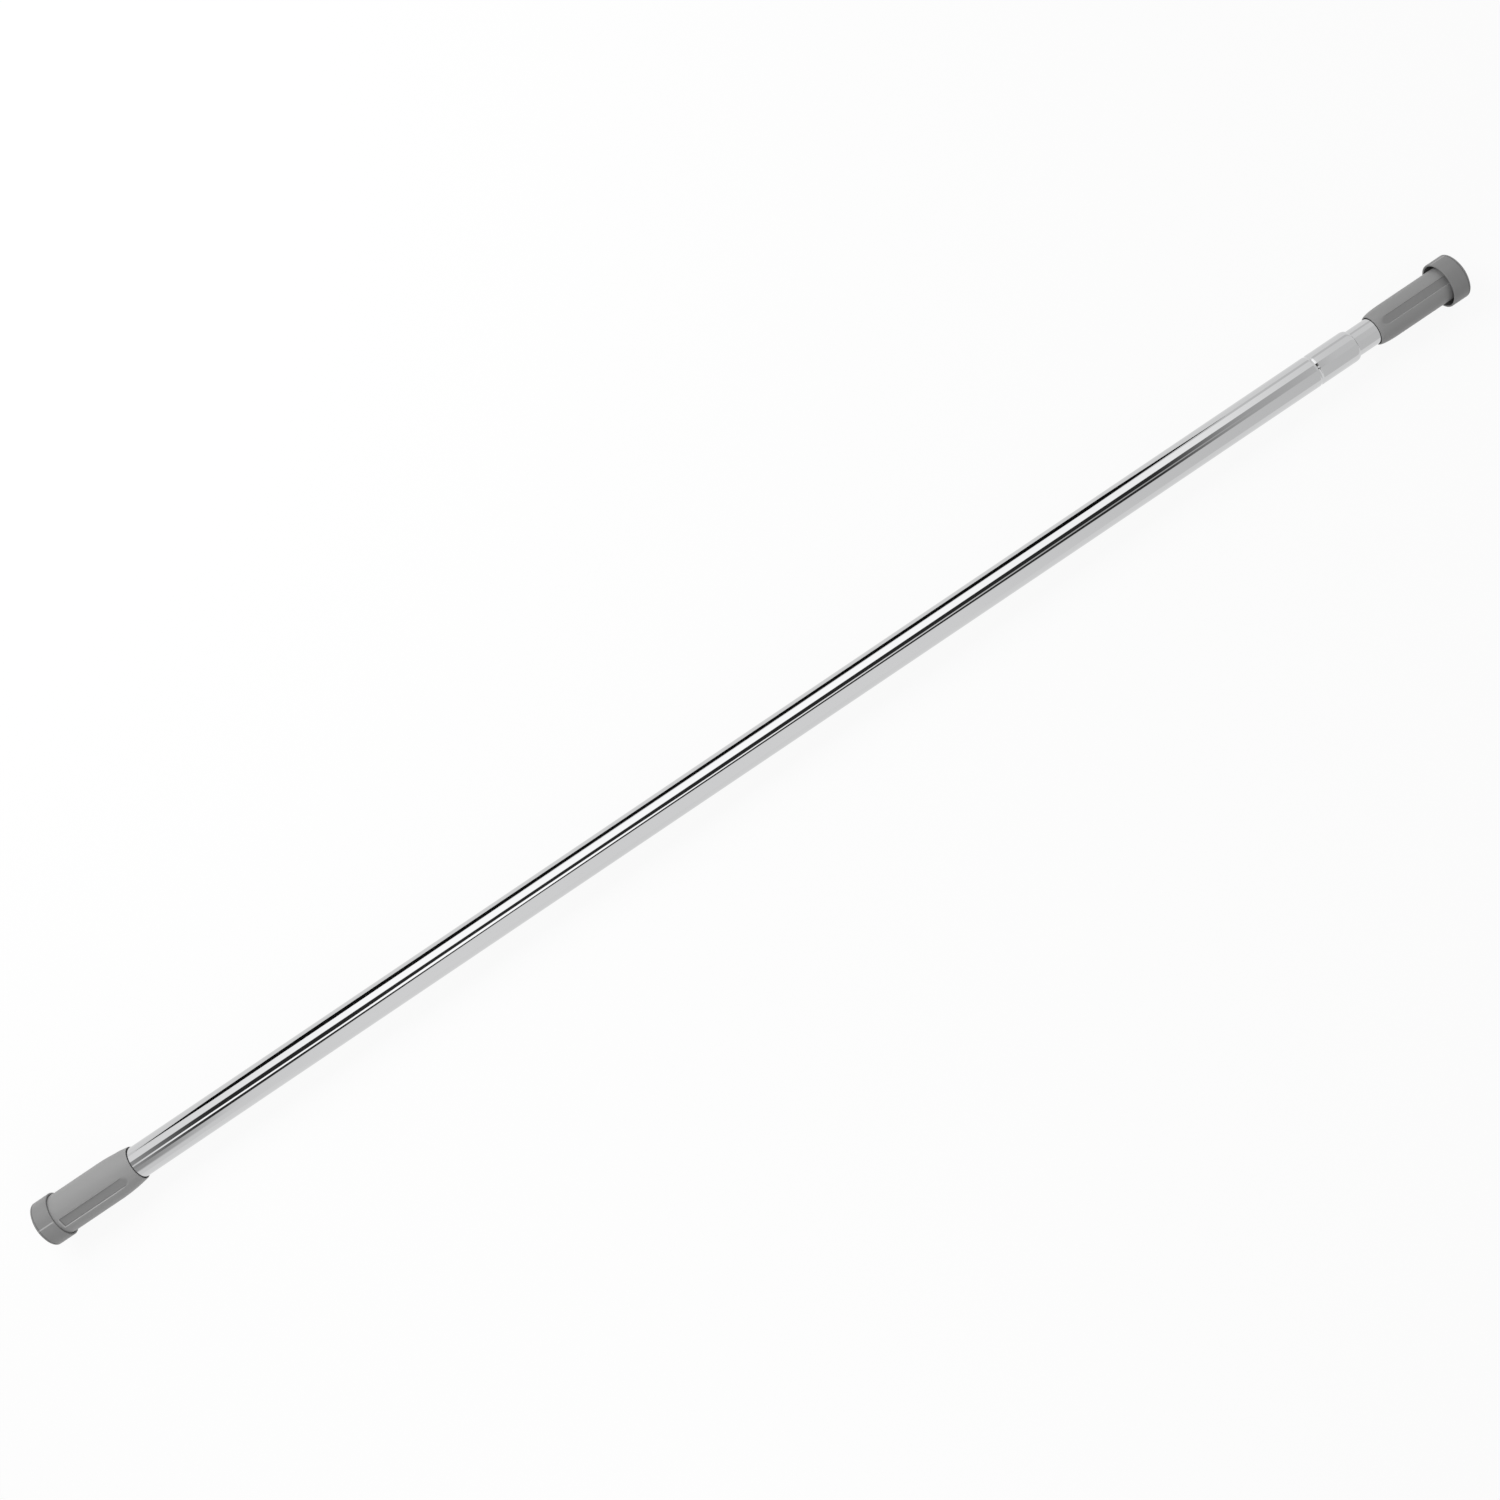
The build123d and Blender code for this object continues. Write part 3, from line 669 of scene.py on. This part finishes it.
# A groove starts at "start" from the foot's face, and its walls drop over twice "edge".
sleeves = {
    "left": {
        "tube_r": outer_r,
        "mouth_wall": 1.1 * MM,
        "flare": 0.55 * MM,
        "taper": 31.5 * MM,
        "fullness": 1.0,
        "start": 22.0 * MM,
        "width": 9.7 * MM,
        "depth": 1.8 * MM,
        "edge": 0.8 * MM,
        "angle": -23.0,
    },
    "right": {
        "tube_r": inner_r,
        "mouth_wall": 0.8 * MM,
        "flare": 0.4 * MM,
        "taper": 18.0 * MM,
        "fullness": 0.5,
        "start": 13.0 * MM,
        "width": 8.5 * MM,
        "depth": 1.05 * MM,
        "edge": 0.35 * MM,
        "angle": 3.8,
    },
}


# %% Grip sleeves
def taper_outline(full_x, mouth, full_r, mouth_r, fullness, steps=26):
    """From the full radius to the mouth. Fullness 1 is a parabola, and 0.5 an ellipse."""
    for k in range(steps + 1):
        share = sin(pi / 2 * k / steps) if fullness < 1 else k / steps
        drop = 1 - (1 - share**2) ** fullness
        yield full_x + (mouth - full_x) * share, full_r - (full_r - mouth_r) * drop


def grip_sleeve(side):
    shape, inward = sleeves[side], INWARD[side]
    back, mouth = foot_first(f"{side}_grip_sleeve", side)
    full_r = span(f"{side}_grip_sleeve")[2]
    bore = shape["tube_r"] + SLEEVE_GAP
    groove_start = FACE[side] + inward * shape["start"]
    full_x = mouth - inward * shape["taper"]
    edge = shape["edge"]
    rings = [groove_start + inward * k * edge / 2 for k in range(-3, 4)]
    rings += along(groove_start + inward * 2 * edge, full_x, 6)[1:-1]
    skin = rounded([(back, bore, 0), (back, full_r, BACK_EDGE), (full_x, full_r, 0)], closed=False)
    skin = skin[1:-1] + [(x, full_r) for x in rings]
    mouth_r, flare = bore + shape["mouth_wall"], shape["flare"]
    nose = list(taper_outline(full_x, mouth, full_r, mouth_r, shape["fullness"]))
    lip = [(mouth, mouth_r - MOUTH_EDGE), (mouth, bore + flare)]
    lip += [(mouth - inward * 2 * flare, bore + 0.2 * flare), (mouth - inward * 4 * flare, bore)]
    pocket_back, pocket_front = foot_first(f"{side}_grip_nut", side)
    web_back = pocket_back - inward * WEB
    lining = [(pocket_front, bore), (pocket_front, POCKET_R), (pocket_back, POCKET_R)]
    lining += [(pocket_back, WEB_R), (web_back, WEB_R), (web_back, bore), (back, bore)]
    half = asin(shape["width"] / 2 / full_r)
    first = radians(shape["angle"])
    centres = [first + tau * k / GROOVE_COUNT for k in range(GROOVE_COUNT)]
    edges = [centre + s * half for centre in centres for s in (-1, 1)]
    angles = with_lines(SLEEVE_ANGLES, edges, edge / 2 / full_r)
    blank = turned(f"{side}_sleeve_blank", skin + nose + lip + lining, angles)
    first_x, last_x = sorted((groove_start, mouth + inward * GROOVE_OVERRUN))
    piece = shaped(
        blank,
        groove_tree,
        finishes["grey_grip"],
        Grooves=GROOVE_COUNT,
        First_Angle=first,
        Width=shape["width"],
        Floor_Radius=full_r - shape["depth"],
        Start=first_x,
        End=last_x,
        Edge=edge,
        Bore_Radius=bore + BORE_MARGIN,
    )
    piece.name = f"grooved_{side}_sleeve"
    stand_for(piece, f"{side}_grip_sleeve")


for side in sleeves:
    grip_sleeve(side)

# %% [markdown]
# The two feet are the same moulding: a shallow cup, open towards the bar, with a rubber disc set
# into its closed end. Where the halves of the mould met there is a hair of flash along the cup. It
# is under a fifth of a millimetre high, and only the light along it gives it away. A fine V line
# runs round the cup near its closed end. Their painted_light values paint a highlight along the
# flash and painted shade in the line.

# %% Sizes of the feet
CUP_WALL = 1.85 * MM
CUP_FLOOR = 2.5 * MM
PAD_SEAT = 3.0 * MM
PAD_GAP = 0.05 * MM
PAD_FACE_EDGE, PAD_BACK_EDGE = 0.8 * MM, 0.2 * MM
HUB_R, HUB_HEIGHT = 13.0 * MM, 3.0 * MM
HEAD_RECESS_R = 11.1 * MM  # in the hub, round the spindle's hexagonal head
SCREW_HOLE_R = 2.6 * MM
FLASH_HEIGHT, FLASH_HALF = 0.18 * MM, 0.8 * MM
LINE_IN, LINE_HALF, LINE_DEPTH = 1.9 * MM, 0.3 * MM, 0.3 * MM
FLASH_ANGLE = {"left": -5.0, "right": 64.0}
RIDGE_PITCH, FIRST_RIDGE = 2.0 * MM, 1 * MM
# The valley between two ridges of a pad: depth, distance along the radius, rounding, in mm.
VALLEY = [(0, 0, 0.1), (0.5, 0.25, 0), (0.5, 0.55, 0), (0, 0.8, 0.1)]
CUP_ANGLES = 144


# %% Foot cups and pads
def stations(side, *corners):
    """(distance from the foot's face, r, rounding) corners as (x, r, rounding)."""
    return [(FACE[side] + INWARD[side] * away, r, rounding) for away, r, rounding in corners]


def scored(place, r):
    """Corners of a fine V line turned into the cup's outside."""
    return [(place - LINE_HALF, r, 0), (place, r - LINE_DEPTH, 0), (place + LINE_HALF, r, 0)]


def foot_cup(side):
    cup_r, pad_r = span(f"{side}_foot_cup")[2], span(f"{side}_foot_pad")[2]
    rim, mouth = (abs(x - FACE[side]) for x in foot_first(f"{side}_foot_cup", side))
    inside = PAD_SEAT + CUP_FLOOR
    outline = rounded(
        stations(
            side,
            (PAD_SEAT, SCREW_HOLE_R, 0),
            (PAD_SEAT, pad_r + PAD_GAP, 0),
            (rim, pad_r + PAD_GAP, 0.3 * MM),
            (rim, cup_r, 1.2 * MM),
            *scored(rim + LINE_IN, cup_r),
            (mouth, cup_r, 0.5 * MM),
            (mouth, cup_r - CUP_WALL, 0.4 * MM),
            (inside, cup_r - CUP_WALL, 0.8 * MM),
            (inside, HUB_R, 0.3 * MM),
            (inside + HUB_HEIGHT, HUB_R, 0.3 * MM),
            (inside + HUB_HEIGHT, HEAD_RECESS_R, 0),
            (inside, HEAD_RECESS_R, 0),
            (inside, SCREW_HOLE_R, 0),
        )
    )
    flash = radians(FLASH_ANGLE[side])
    seams = [flash % tau, (flash + pi) % tau]

    def seam(x, r, angle):
        if r < cup_r - 1e-6:
            return 0
        off = min(abs((angle - s + pi) % tau - pi) for s in seams) * cup_r
        return FLASH_HEIGHT * max(0, 1 - off / FLASH_HALF)

    angles = with_lines(CUP_ANGLES, seams, FLASH_HALF / 2 / cup_r)
    cup = turned(f"moulded_{side}_cup", outline, angles, seam)
    scored_r = cup_r - LINE_DEPTH
    # Painted light: a painted highlight along the flash, and painted shade in the V line.
    painted_light = []
    for vertex in cup.data.vertices:
        r = hypot(vertex.co.y, vertex.co.z)
        painted_light.append(float(r > cup_r + FLASH_HEIGHT / 3) - float(abs(r - scored_r) < 1e-6))
    cup.data.attributes.new("painted_light", "FLOAT", "POINT").data.foreach_set("value", painted_light)
    stand_for(cup, f"{side}_foot_cup")


def foot_pad(side):
    pad_r = span(f"{side}_foot_pad")[2]
    face = []
    for k in range(int(pad_r / RIDGE_PITCH) - 1):
        r = (k + 0.5) * RIDGE_PITCH + FIRST_RIDGE
        face += [(deep * MM, r + out * MM, rounding * MM) for deep, out, rounding in VALLEY]
    back = [(0, pad_r, PAD_FACE_EDGE), (PAD_SEAT, pad_r, PAD_BACK_EDGE), (PAD_SEAT, 0, 0)]
    outline = rounded(stations(side, (0, 0, 0), *face, *back), closed=False, steps=4)
    stand_for(turned(f"ridged_{side}_pad", outline, evenly(CUP_ANGLES)), f"{side}_foot_pad")


for side in sleeves:
    foot_cup(side)
    foot_pad(side)

# %% [markdown]
# The spindles and the lock's stud carry real threads. A thread is also a rule: the surface drops by
# a depth that depends on how far along the screw a point is, less its angle as a share of a turn.
# A second tree does that to a turned blank, and then planes the spindle's two flats, as a mill
# would. The spindle's hexagonal head and the screw's socket stay as the model has them.


# %% Geometry Nodes: cutting a thread
VALLEY_SLOPE, CREST_FLAT = 2.4, 0.2  # the thread's profile over one pitch
RUN_OUT = 1 * MM  # over which a thread rises from nothing to its full depth
SAME_PLACE = 1e-5


def thread_tree():
    numbers = {"Pitch": 0.00175, "Depth": 0.0009, "Flats": 1.0, "Start": 0.0, "End": 1.0}
    numbers |= {"Root Radius": 0.001}
    group, tree, wires = tree_with_inputs("screw_thread", numbers)
    x, y, z = position_parts(tree)
    radius = (y * y + z * z).maths("SQRT").most(1e-6)
    turns = y.maths("ARCTAN2", z) / tau
    phase = (x / wires["Pitch"] + turns).maths("FLOORED_MODULO", 1)
    valley = (abs(phase - 0.5) * VALLEY_SLOPE - CREST_FLAT).least(1).most(0)
    start, end = wires["Start"], wires["End"]
    run = x.ease(start, start + RUN_OUT) * x.ease(end - RUN_OUT, end, 1, 0)
    on_skin = radius.maths("GREATER_THAN", wires["Root Radius"])
    shrink = 1 - valley * wires["Depth"] * run * on_skin / radius
    new_y, new_z = y * shrink, z * shrink
    past_start = x.maths("GREATER_THAN", start - SAME_PLACE)
    on_shank = past_start * (end + SAME_PLACE - x).maths("GREATER_THAN", 0)
    planed = new_z.least(wires["Flats"]).most(-wires["Flats"])
    new_z = new_z + (planed - new_z) * on_shank
    place = tree.add("ShaderNodeCombineXYZ", {}, [x, new_y, new_z])
    inputs = {"Geometry": wires["Geometry"], "Position": place}
    close_tree(tree, wires, tree.add("GeometryNodeSetPosition", {}, inputs))
    return group


# %% Threaded rods
RINGS_PER_TURN, THREAD_ANGLES = 8, 48
THREAD_DEPTH = 0.55  # of the pitch
THREAD_FLOOR = 0.6  # of the rod's radius: points nearer the axis than this aren't cut
screw_threads = thread_tree()


def threaded(name, outline, pitch, rod_r, start, end, flats, swell=None):
    """Turns the outline and cuts a thread in it from start to end."""
    piece = shaped(
        turned(name + "_blank", outline, evenly(THREAD_ANGLES), swell),
        screw_threads,
        finishes["zinc_steel"],
        Pitch=pitch,
        Depth=pitch * THREAD_DEPTH,
        Flats=flats,
        Start=start,
        End=end,
        Root_Radius=rod_r * THREAD_FLOOR,
    )
    piece.name = name
    return piece


def rod_rings(start, end, rod_r, pitch):
    """Rings close enough together to carry a thread."""
    return [(x, rod_r) for x in along(start, end, int(abs(end - start) / pitch * RINGS_PER_TURN))]


STUD_PITCH = 1.25 * MM
stud_low, stud_high, stud_r = span("lock_stud")
stud_outline = [(stud_low, 0), *rod_rings(stud_low, stud_high, stud_r, STUD_PITCH), (stud_high, 0)]
stud = threaded("threaded_stud", stud_outline, STUD_PITCH, stud_r, stud_low, stud_high, 1.0)
stand_for(stud, "lock_stud")

# %% Spindles
SPINDLE_R, SPINDLE_PITCH, FLAT_HEIGHT = 6 * MM, 1.75 * MM, 5 * MM
HEAD_HEIGHT, HEAD_APOTHEM = 3 * MM, 9.5 * MM
TAPPED_R, TAPPED_DEPTH = 2.55 * MM, 15 * MM


def hexagon(angle):
    """How far a hexagon with a flat on top reaches, against its apothem."""
    return 1 / cos((angle + pi / 6) % (pi / 3) - pi / 6)


def foot_spindle(side):
    head, tip = foot_first(f"{side}_foot_spindle", side)
    inward = INWARD[side]
    neck, deep = head + inward * HEAD_HEIGHT, head + inward * TAPPED_DEPTH
    shank = rod_rings(neck, tip, SPINDLE_R, SPINDLE_PITCH)
    outline = [(deep, 0), (deep, TAPPED_R), (head, TAPPED_R), (head, HEAD_APOTHEM)]
    outline += [(neck, HEAD_APOTHEM), *shank, (tip, 0)]

    def corners(x, r, angle):
        return r * (hexagon(angle) - 1) if r == HEAD_APOTHEM else 0

    ends = sorted((neck, tip))
    name = f"threaded_{side}_spindle"
    piece = threaded(name, outline, SPINDLE_PITCH, SPINDLE_R, *ends, FLAT_HEIGHT, corners)
    stand_for(piece, f"{side}_foot_spindle")


for side in sleeves:
    foot_spindle(side)

# %% [markdown]
# The bar lies on a plain pale floor under soft studio light. Chrome shows nothing but its
# surroundings, so the studio has to be designed for it: a white softbox high on one side, a pale
# wall on the other, and narrow dark gaps between them. In the tube each gap turns into a fine dark
# line, and those lines are what make metal look like metal. The studio is a sky that depends only
# on direction. The softboxes end before the bar's ends do, so there the dark lines fade to grey.

# %% Stage: the floor
FLOOR_SIZE, FLOOR_SHADE, FLOOR_GLOW = 30.0, 0.07, 0.91


def plain(name, shade, glow):
    """An even matt finish with a glow of its own, for the studio's things."""
    material, tree, _ = start_finish(name)
    colour = (shade, shade, shade, 1)
    values = {"Base_Color": colour, "Roughness": 1.0, "Specular_IOR_Level": 0.0}
    return end_finish(material, tree, **values, Emission_Color=(1, 1, 1, 1), Emission_Strength=glow)


def staged(name, points, finish):
    """A flat piece of the studio."""
    mesh = bpy.data.meshes.new(name)
    mesh.from_pydata(points, [], [range(len(points))])
    mesh.materials.append(finish)
    card = bpy.data.objects.new(name, mesh)
    bpy.context.scene.collection.objects.link(card)
    card.visible_diffuse = False
    return card


corners = [(-1, -1), (1, -1), (1, 1), (-1, 1)]
floor_points = [(x * FLOOR_SIZE / 2, y * FLOOR_SIZE / 2, cad_low[2]) for x, y in corners]
staged("studio_floor", floor_points, plain("white_floor", FLOOR_SHADE, FLOOR_GLOW))

# %% [markdown]
# One long black card stands beside the bar, too low and too near for the sky to do its work. It
# gives the tube its deepest line. Only reflections see it: it is hidden from the camera, throws no
# shadow, and takes no light from the bar.

# %% Stage: the black card
CARD_DISTANCE = 60 * MM
CARD_TOP = [(0.09, 22), (0.18, 31), (0.32, 31), (0.60, 24), (1.05, 25), (1.20, 28), (1.36, 16)]
CARD_FOOT = [(1.22, -4), (0.30, -3), (0.18, 5)]

card_points = [(x, CARD_DISTANCE, z * MM) for x, z in CARD_TOP + CARD_FOOT]
card = staged("black_card", card_points, plain("black_velvet", 0.01, 0.0))
card.visible_camera = card.visible_shadow = card.visible_transmission = False

# %% Stage: the studio around the bar
SOFTBOX_LIGHT, WALL_LIGHT, DARK_LIGHT, FAR_LIGHT = 1.55, 1.0, 0.03, 0.55
BACKDROP = 0.92  # what the camera sees past the floor
FILL_LOSS = 0.22  # the share of the studio's light that doesn't reach matt surfaces

# Places round the bar, in degrees from straight up, and how softly each thing ends.
SOFTBOX_FROM, SOFTBOX_TO, SOFTBOX_SOFT = -72, -29, 1.5
LINE_FROM, LINE_TO, LINE_SOFT = -4.5, 2.0, 1.0
CORNER_FROM, CORNER_TO, CORNER_SOFT = 13, 55, 8
GAP_TO = 12.0

# Places along the bar, as the sine of the direction's lean, spread for the camera's distance. Each
# change says where it starts and ends, and which values it runs between.
LEAN_SCALE = 1.145
LEFT_REACH, RIGHT_REACH, REACH_SOFT = -0.443, 0.35, 0.04
LINE_LIFT, LINE_THINS, LINE_GLOW = (-0.32, -0.27, 3, 0), (-0.35, -0.05, 6, 0), (-0.1, 0.3, 1.6, 0.5)
LINE_DIP, LINE_DIP_DEGREES = (-0.27, -0.08, 0.05), 4
GAP_LEFT, GAP_RIGHT = (-0.42, -0.16, 13, 0), (0.05, 0.32, 0, 5)
WALL_LEFT, WALL_RIGHT = (-0.44, -0.30, 0.9, 1), (0.08, 0.46, 1, 0.76)
CORNER_FADE, SOFTBOX_FADE = (-0.45, -0.38, 0.5, 0), (0.28, 0.46, 1, 0.28)
FAR_RISE = (0.38, 0.46, 0, 0.25)

# The sky below the horizon is darker, from this height of the direction to that.
HORIZON, GROUND_SHADE = (-0.1, 0.02), 0.6


def studio_sky():
    world = bpy.data.worlds.new("studio")
    bpy.context.scene.world = world
    world.use_nodes = True
    world.node_tree.nodes.clear()
    tree = Tree(world.node_tree)
    way = tree.add("ShaderNodeTexCoord", output=0)
    lean, y, z = (tree.add("ShaderNodeSeparateXYZ", {}, [way], output=k) for k in range(3))
    lean = lean * LEAN_SCALE
    tilt = (-y).maths("ARCTAN2", z).maths("DEGREES")
    line_start = LINE_FROM + lean.ease(*LINE_LIFT) - lean.inside(*LINE_DIP) * LINE_DIP_DEGREES
    line_end = LINE_TO + lean.ease(*LINE_THINS)
    gap_end = GAP_TO + lean.ease(*GAP_LEFT) + lean.ease(*GAP_RIGHT)
    wall = lean.ease(*WALL_RIGHT) * lean.ease(*WALL_LEFT) * WALL_LIGHT
    corner = tilt.inside(CORNER_FROM, CORNER_TO, CORNER_SOFT) * lean.ease(*CORNER_FADE)
    softbox = tilt.inside(SOFTBOX_FROM, SOFTBOX_TO, SOFTBOX_SOFT) * abs(lean).ease(*SOFTBOX_FADE)
    open_light = wall * (1 - corner) + softbox * (SOFTBOX_LIGHT - WALL_LIGHT)
    line = tilt.inside(line_start, line_end, LINE_SOFT) * lean.ease(*LINE_GLOW)
    reach = lean.inside(LEFT_REACH, RIGHT_REACH, REACH_SOFT)
    far_light = lean.ease(*FAR_RISE) + FAR_LIGHT
    dark_light = reach * (DARK_LIGHT - far_light) + far_light + line * reach
    dark = tilt.inside(SOFTBOX_TO, gap_end, SOFTBOX_SOFT)
    sky = open_light * (1 - dark) + dark_light * dark
    sky = sky * z.ease(*HORIZON, GROUND_SHADE, 1)
    camera_ray = tree.add("ShaderNodeLightPath", output=0)
    diffuse_ray = tree.add("ShaderNodeLightPath", output=2)
    sky = sky * (1 - diffuse_ray * FILL_LOSS)
    strength = sky * (1 - camera_ray) + camera_ray * BACKDROP
    shown = tree.add("ShaderNodeBackground", {}, {"Color": (1, 1, 1, 1), "Strength": strength})
    tree.add("ShaderNodeOutputWorld", {}, {"Surface": shown})


studio_sky()

# %% [markdown]
# Two square soft lights shape the grey plastics: a key light on the softbox's side of the bar, and
# a weak fill opposite it, by the left end. Neither is seen in the chrome.

# %% Stage: the soft lights
SOFT_KEY = {"power": 18.6, "size": 0.9, "place": (0.3, 1.2, 1.2), "target": (0.5, 0, 0)}
SOFT_FILL = {"power": 3.0, "size": 0.6, "place": (0.1, -1.1, 0.6), "target": (0.05, 0, 0)}


def soft_light(name, power, size, place, target):
    """A square soft light that lights the bar but isn't seen in the chrome."""
    data = bpy.data.lights.new(name, "AREA")
    data.energy, data.size = power, size
    light = bpy.data.objects.new(name, data)
    light.location = place
    light.rotation_euler = (Vector(target) - Vector(place)).to_track_quat("-Z", "Y").to_euler()
    light.visible_glossy = False
    bpy.context.scene.collection.objects.link(light)


soft_light("soft_key", **SOFT_KEY)
soft_light("soft_fill", **SOFT_FILL)

# %% [markdown]
# The camera looks straight down on the middle of the bar, turned so that the bar runs from the
# lower left to the upper right. It stands close enough for both ends to lean away from it a little.

# %% Camera
LENS, SENSOR = 41.34, 36.0  # in millimetres
CAMERA_X, CAMERA_HEIGHT = 0.7996, 1.6216
ROLL = 33.97  # degrees
camera_data = bpy.data.cameras.new("camera")
camera_data.lens, camera_data.sensor_width = LENS, SENSOR
camera = bpy.data.objects.new("camera", camera_data)
camera.location = (CAMERA_X, 0, CAMERA_HEIGHT)
camera.rotation_euler = (0, 0, -radians(ROLL))
bpy.context.scene.collection.objects.link(camera)
bpy.context.scene.camera = camera
bpy.context.scene.view_settings.view_transform = "Standard"
